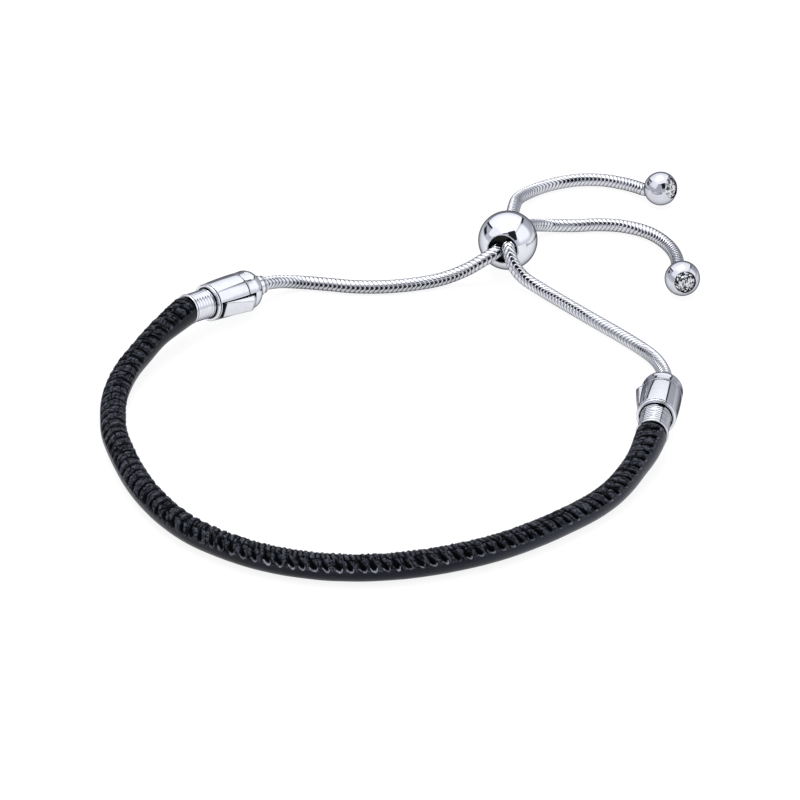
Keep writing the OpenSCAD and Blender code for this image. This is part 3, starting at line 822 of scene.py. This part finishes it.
def build_barrel(side, place):
    """The domed barrel with its bores, rim bead, seam, collar, chain seat and lever slot."""
    def wall(a, b, n):
        return [(x, barrel_wall(x), 0) for x in np.linspace(a, b, n)]

    # the third number of each point is painted shade: in the bores, the mouth, the grooves, the
    # collar step and the chain seat
    profile = [(BORE_END_X, AXIS_R, 1), (BORE_END_X, BORE_R, 1), (BORE_X, BORE_R, 1),
               (BORE_X, MOUTH_R, 1), (0.5, MOUTH_R, 1), (0.12, MOUTH_R + 0.01, 0.6),
               (0.03, MOUTH_R + 0.06, 0), (0, MOUTH_R + 0.12, 0),
               (0, RIM_R - 0.14, 0), (0.04, RIM_R - 0.05, 0)]
    profile += wall(0.12, 0.24, 3) + ring_groove(0.37, 0.2, 0.12)
    profile += wall(0.52, SEAM_X - 0.09, 22) + ring_groove(SEAM_X, 0.17, 0.11)
    profile += wall(SEAM_X + 0.09, DOME_X, 6)[:-1]
    dome_end = math.degrees(math.acos(1 - (BARREL_R - COLLAR_R) / DOME_R))
    for turn in [math.radians(a) for a in np.linspace(0, dome_end, 16)]:
        profile.append((DOME_X + DOME_R * math.sin(turn),
                        BARREL_R - DOME_R * (1 - math.cos(turn)), 0))
    profile += [(COLLAR_END_X - 0.06, COLLAR_R, 0), (COLLAR_END_X, COLLAR_R - 0.06, 0.2),
                (COLLAR_END_X + 0.01, RING_R, 1), (CLASP_LEN - 0.08, RING_R, 0),
                (CLASP_LEN, RING_R - 0.08, 0), (CLASP_LEN, CHAIN_R + 0.08, 0.4),
                (CLASP_LEN - 0.06, CHAIN_R + GAP, 1), (CHAIN_SEAT_X, CHAIN_R + GAP, 1),
                (CHAIN_SEAT_X, AXIS_R, 1)]
    obj = turned("clasp_barrel_" + side, profile, place, n=144, sharp=180)
    # the cutter reaches past the wall of the barrel
    outline = [(SLOT_X, SLOT_FLOOR), (SLOT_X, 4), (SLOT_END_X, 4), (SLOT_END_X, SLOT_FLOOR)]
    carve(obj, prism("slot_cutter", outline, SLOT_HALF, place))
    mark_sharp(obj, 30)
    dress(obj, CLASP, "silver", "barrel_" + side)


def lever_height(x):
    """Height of the flat top of the lever above the axis of the clasp."""
    height = 2.33 + 0.97 * (fade(x, 0.2, 7.4) * 0.5 + 0.5 * (x - 0.7) / 4.8)
    nose_end = LEVER_X + NOSE_LEN
    if x < nose_end:
        rise = math.sqrt(max(1 - ((nose_end - x) / NOSE_LEN) ** 2, 0))
        height = min(height, LEVER_FLOOR + 0.1 + 0.5 * rise)
    if x > THUMB_X:
        rise = math.sqrt(max(1 - ((x - THUMB_X) / (LEVER_END_X - THUMB_X)) ** 2, 0))
        height = min(height, 2.6 + 0.68 * rise)
    return height


def build_lever(side, place, body):
    """Flat-topped lever whose side bevels widen toward its round thumb end."""
    stations = [*np.linspace(LEVER_X, LEVER_X + NOSE_LEN, 9), *np.linspace(1.6, 5.9, 18),
                *(THUMB_X + (LEVER_END_X - THUMB_X) * np.sin(np.linspace(0, math.pi / 2, 16)))]
    round_len, round_in = 0.7, 0.62
    rings = []
    for x in sorted(set(round(v, 4) for v in stations)):
        corner = max(x - (LEVER_END_X - round_len), 0) / round_len
        w = LEVER_HALF - round_in * (1 - math.sqrt(max(1 - corner ** 2, 0)))
        h = lever_height(x)
        bevel = min(0.07 + 0.36 * float(fade(x, 1.2, 6.2)), 0.45 * (h - LEVER_FLOOR))
        flat = w - 0.95 * bevel
        nose_shade = 1 - float(fade(x, LEVER_X + 0.3, LEVER_X + 0.42))
        # height, half width and painted shade, from the middle of the top to that of the floor;
        # painted shade darkens the nose end and a line along the edge of the flat top
        half = [(h + 0.02, 0.0, nose_shade), (h + 0.015, 0.5 * flat, nose_shade), (h, flat - 0.07, nose_shade),
                (h - 0.01, flat, 0.75), (h - 0.02, flat + 0.04, nose_shade),
                (h - 0.9 * bevel, w - 0.05, nose_shade), (h - bevel, w, nose_shade),
                (h - bevel - 0.08, w, nose_shade), (LEVER_FLOOR + 0.05, w - 0.08, 0),
                (LEVER_FLOOR, w - 0.13, 0), (LEVER_FLOOR, 0.5 * w, 0)]
        ring = half + [(LEVER_FLOOR, 0.0, 0)] + [(y, -z, dark) for y, z, dark in half[:0:-1]]
        rings.append([(*at(place, (x, y, z)), dark) for y, z, dark in ring])
    rings = np.array(rings)
    obj = grid_object("clasp_lever_" + side, rings[:, :, :3], {"painted_shade": rings[:, :, 3]})
    mark_sharp(obj, 28)
    dress(obj, CLASP, "silver", "lever_" + side, body=body)


def build_tooth(side, place, body):
    """The catch under the lever, which drops behind the head of the ferrule."""
    obj = prism("lever_tooth_" + side, TOOTH_OUTLINE, TOOTH_HALF, place)
    dress(obj, CLASP, "silver", "lever_" + side, body=body)


def build_ferrule(side, place, length, rib_depth):
    """The ribbed end cap of the leather, and its post with neck and head in the clasp."""
    r, face = FERRULE_R, -length
    # the third number of each point is painted shade: in the socket, the groove behind the lip,
    # the troughs of the ribs, and on the collet, neck and post
    profile = [(face + SOCKET_DEPTH, AXIS_R, 1), (face + SOCKET_DEPTH, SOCKET_R, 1),
               (face + 0.1, SOCKET_R, 1), (face, SOCKET_R + 0.08, 1), (face, r - 0.02, 0.2),
               (face + 0.03, r + 0.05, 0), (face + 0.1, r + 0.08, 0), (face + 0.24, r + 0.08, 0),
               (face + 0.3, r + 0.04, 0), (face + 0.31, r - 0.08, 1), (face + 0.4, r - 0.08, 1),
               (face + 0.42, r, 0)]
    for x in np.linspace(face + 0.5, -0.25, 90):
        crest = abs(math.sin(math.pi * (x + RIB_PITCH / 2) / RIB_PITCH))
        profile.append((x, r - rib_depth * (1 - crest ** 0.6), 0.1 * (1 - crest ** 0.35)))
    profile += [(-0.2, r, 0), (COLLET_X - 0.05, r, 0.5), (COLLET_X, r - 0.05, 1),
                (COLLET_X, POST_R, 1), (NECK_X, POST_R, 0.4), (NECK_X, NECK_R, 0.8),
                (HEAD_X, NECK_R, 0.8), (HEAD_X, HEAD_R, 0.4), (HEAD_END_X - 0.05, HEAD_R, 0.2),
                (HEAD_END_X, HEAD_R - 0.05, 0), (HEAD_END_X, AXIS_R, 0)]
    obj = turned("ribbed_ferrule_" + side, profile, place, n=128, sharp=30)
    dress(obj, SILVER, "silver", "ferrule_" + side)


# ---------------------------------------------------------------- balls


def build_slider():
    """The drilled ball, with rounded mouths to its bore."""
    lip, bore_half = 0.16, 2.6
    mouth = SLIDER_BORE_R + lip
    face = math.sqrt(SLIDER_R ** 2 - mouth ** 2)
    a = math.degrees(math.atan2(mouth, face))
    # painted shade deepens into the bore
    turn_in = [(face - lip * (1 - math.cos(t)) * 0.8, SLIDER_BORE_R + lip * (1 - math.sin(t)),
                t / math.pi) for t in np.linspace(0.25, math.pi / 2, 7)]
    profile = (turn_in[::-1] + arc(SLIDER_R, a, 180 - a, 96) + [(-x, r, d) for x, r, d in turn_in]
               + [(-bore_half, SLIDER_BORE_R, 1.0), (bore_half, SLIDER_BORE_R, 1.0)])
    obj = turned("slider_ball_polished", profile, SLIDER, n=160, sharp=40, closed=True)
    dress(obj, SILVER, "silver", "slider_ball")


def build_end_ball(name, place, node_name):
    """A ball with a stone seat in front and the socket of the chain behind."""
    hole, rim = CHAIN_R + GAP, STONE_R + 0.1
    face = math.sqrt(BALL_R ** 2 - rim ** 2)
    back = math.sqrt(BALL_R ** 2 - (hole + 0.08) ** 2)
    a0 = math.degrees(math.atan2(rim, face))
    a1 = 180 - math.degrees(math.asin((hole + 0.08) / BALL_R))
    socket_x = -BALL_R + BALL_SOCKET
    # the third number of each point is painted shade, in the stone seat and the chain socket
    profile = [(0.45, 0.12, 0.9), (1.5, 1.36, 0.7), (1.58, STONE_R + 0.02, 0.9),
               (face - 0.1, STONE_R + 0.03, 0.8), (face - 0.03, STONE_R + 0.045, 0.2)]
    profile += arc(BALL_R, a0, a1, 72)
    profile += [(-back + 0.04, hole + 0.02, 0.3), (-back + 0.12, hole, 0.9),
                (socket_x, hole, 1.0), (socket_x, 0.1, 1.0)]
    dress(turned(name, profile, place), SHADED_BALL_SILVER, "silver", node_name)


def build_stone(name, place, node_name):
    """Round brilliant: table, stars, kites, girdle facets, lower facets and mains."""
    girdle_low, girdle_high, table, culet = 1.62, 1.72, 2.08, 0.55
    # height, share of the radius, first angle and number of the corners of each row
    rows = ((table, 0.56, 22.5, 8), (table - 0.17, 0.76, 0, 8), (girdle_high, 1, 0, 16),
            (girdle_low, 1, 0, 16), (girdle_low - 0.62, 0.45, 22.5, 8))
    verts = []
    for height, share, first, count in rows:
        for k in range(count):
            t, r = math.radians(first + 360 / count * k), share * STONE_R
            verts.append(at(place, (height, r * math.cos(t), r * math.sin(t))))
    verts.append(at(place, (culet, 0, 0)))
    # where the corners of table, kites, upper and lower girdle and mains begin, and the culet
    t0, k0, g0, h0, p0, c = 0, 8, 16, 32, 48, 56
    faces = [tuple(range(8))]
    for i in range(8):
        j, this, last = (i + 1) % 8, 2 * i + 1, (2 * i + 2) % 16
        # a star facet, and the kite facet as two triangles
        faces += [(t0 + i, k0 + j, t0 + j), (t0 + i, k0 + i, g0 + this),
                  (t0 + i, g0 + this, k0 + j)]
        # upper girdle facets
        faces += [(k0 + i, g0 + 2 * i, g0 + this), (k0 + j, g0 + this, g0 + last)]
        # lower girdle facets and mains
        faces += [(p0 + i, h0 + this, h0 + 2 * i), (p0 + i, h0 + last, h0 + this),
                  (c, p0 + i, h0 + last), (c, h0 + last, p0 + j)]
    for i in range(16):
        j = (i + 1) % 16
        faces.append((g0 + i, h0 + i, h0 + j, g0 + j))
    dress(solid(name, verts, faces), PAINTED_REFLECTION_STONE, "stone", node_name)


# ---------------------------------------------------------------- build

build_leather_wrap()
build_leather_strip("stitched_strip_left", 0, leather_length / 2)
build_leather_strip("stitched_strip_right", leather_length / 2, leather_length)
left_line = chain_line(CLASP_LEFT, CHAIN_LEFT_FRONT, -CHAIN_OFFSET, CHAIN_LEFT_TAIL, END_UPPER)
right_line = chain_line(CLASP_RIGHT, CHAIN_RIGHT_FRONT, CHAIN_OFFSET, CHAIN_RIGHT_TAIL, END_LOWER)
build_chain("snake_chain_left", left_line, LEFT_TIPS, LEFT_DASHES, LEFT_SHADE, "chain_left")
build_chain("snake_chain_right", right_line, RIGHT_TIPS, RIGHT_DASHES, RIGHT_SHADE, "chain_right")
build_slider()
build_end_ball("end_ball_upper_polished", END_UPPER, "end_ball_upper")
build_end_ball("end_ball_lower_polished", END_LOWER, "end_ball_lower")
build_stone("stone_upper_cut", END_UPPER, "stone_upper")
build_stone("stone_lower_cut", END_LOWER, "stone_lower")
for side, place, length, rib_depth in (("left", CLASP_LEFT, FERRULE_LEFT_LEN, 0.03),
                                       ("right", CLASP_RIGHT, FERRULE_RIGHT_LEN, 0.055)):
    build_ferrule(side, place, length, rib_depth)
    build_barrel(side, place)
    build_lever(side, place, "lever_" + side)
    build_tooth(side, place, "lever_" + side)
    paint(nodes["pin_" + side], CLASP)
paint(nodes["slider_grip"], RUBBER)

# ---------------------------------------------------------------- studio

# half width of the floor and its drop below the table plane, in metres
FLOOR_HALF, FLOOR_DROP = 3, 0.00003
floor_mesh = bpy.data.meshes.new("floor")
floor_mesh.from_pydata([(x * FLOOR_HALF, y * FLOOR_HALF, 0)
                        for x, y in ((-1, -1), (1, -1), (1, 1), (-1, 1))], [], [(0, 1, 2, 3)])
floor = linked("floor", floor_mesh)
floor.location = (0, 0, -FLOOR_DROP)
floor_mat, _, floor_bsdf = new_material("pale_floor")
for socket, value in (("Base Color", (0.16, 0.16, 0.162, 1)), ("Roughness", 0.9),
                      ("Specular IOR Level", 0.1), ("Emission Color", (1, 1, 1, 1)),
                      ("Emission Strength", 0.87)):
    floor_bsdf.inputs[socket].default_value = value
floor_mesh.materials.append(floor_mat)

# a soft light above the bracelet that faces its middle: size in metres, power in watts
lamp = bpy.data.lights.new("top_softbox", "AREA")
lamp.shape = "RECTANGLE"
lamp.size, lamp.size_y, lamp.energy = 0.6, 0.5, 3.0
softbox = linked("top_softbox", lamp)
softbox.location = (-0.1, 0.2, 0.8)
softbox.rotation_euler = (-softbox.location).to_track_quat("-Z", "Y").to_euler()

world = bpy.data.worlds.new("studio")
bpy.context.scene.world = world
world.use_nodes = True
wt = world.node_tree
bg = wt.nodes["Background"]
coords = wt.nodes.new("ShaderNodeTexCoord").outputs["Generated"]


def direction(azimuth, elevation):
    """Unit vector for an azimuth from the back (+Y) toward the right (+X) and an elevation."""
    a, e = math.radians(azimuth), math.radians(elevation)
    return Vector((math.sin(a) * math.cos(e), math.cos(a) * math.cos(e), math.sin(e)))


def toward(vector):
    """How far the looked-up direction points along a vector."""
    n = node(wt, "ShaderNodeVectorMath", operation="DOT_PRODUCT")
    wt.links.new(coords, n.inputs[0])
    n.inputs[1].default_value = vector
    return n.outputs["Value"]


def panel_mask(centre, across, half_across, half_up, soft):
    """1 inside a flat rectangular panel round a direction, 0 outside it."""
    c = centre.normalized()
    u = (across - across.dot(c) * c).normalized()
    ahead = toward(c)
    sides = []
    for axis, half in ((u, half_across), (c.cross(u), half_up)):
        inside = math_node(wt, "SUBTRACT", math_node(wt, "MULTIPLY", ahead, half),
                           math_node(wt, "ABSOLUTE", toward(axis)))
        sides.append(math_node(wt, "MULTIPLY_ADD", inside, 1 / soft, 0.5, clamp=True))
    return math_node(wt, "MULTIPLY", *sides)


X_AXIS, Z_AXIS = Vector((1, 0, 0)), Vector((0, 0, 1))
# background light by height, from level to straight up
shade = ramp(wt, toward(Z_AXIS), [
    (0.0, (0.72, 0.73, 0.78)), (0.2, (0.60, 0.61, 0.67)),
    (0.6, (0.55, 0.56, 0.61)), (1.0, (0.6, 0.61, 0.65))])
overhead = Vector((-0.115, 0.328, 0.937))
right_wall, left_wall = direction(105, 32), direction(-112, 36)
front_gap, left_gap = direction(157, 42), direction(-60, 9)
OVERHEAD_FRAME, BLACK_CARD = (0.03, 0.03, 0.035), (0.02, 0.02, 0.025)
# panels and black cards: centre, across axis, half sizes as tangents, softness, level
PANELS = (
    (overhead, X_AXIS, 1.14, 1.53, 0.03, OVERHEAD_FRAME),
    (overhead, X_AXIS, 0.936, 1.33, 0.03, (1.4, 1.41, 1.45)),
    (left_wall, left_wall.cross(Z_AXIS), 0.5, 0.3, 0.08, (1.2, 1.21, 1.27)),
    (right_wall, right_wall.cross(Z_AXIS), 0.62, 0.45, 0.3, (1.3, 1.31, 1.37)),
    (front_gap, front_gap.cross(Z_AXIS), 0.26, 0.34, 0.04, BLACK_CARD),
    (left_gap, left_gap.cross(Z_AXIS), 0.25, 0.1, 0.04, BLACK_CARD),
)
for centre, across, half_across, half_up, softness, level in PANELS:
    mask = panel_mask(centre, across, half_across, half_up, softness)
    shade = mix_colors(wt, mask, shade, level)
wt.links.new(shade, bg.inputs["Color"])
bg.inputs["Strength"].default_value = 1.0
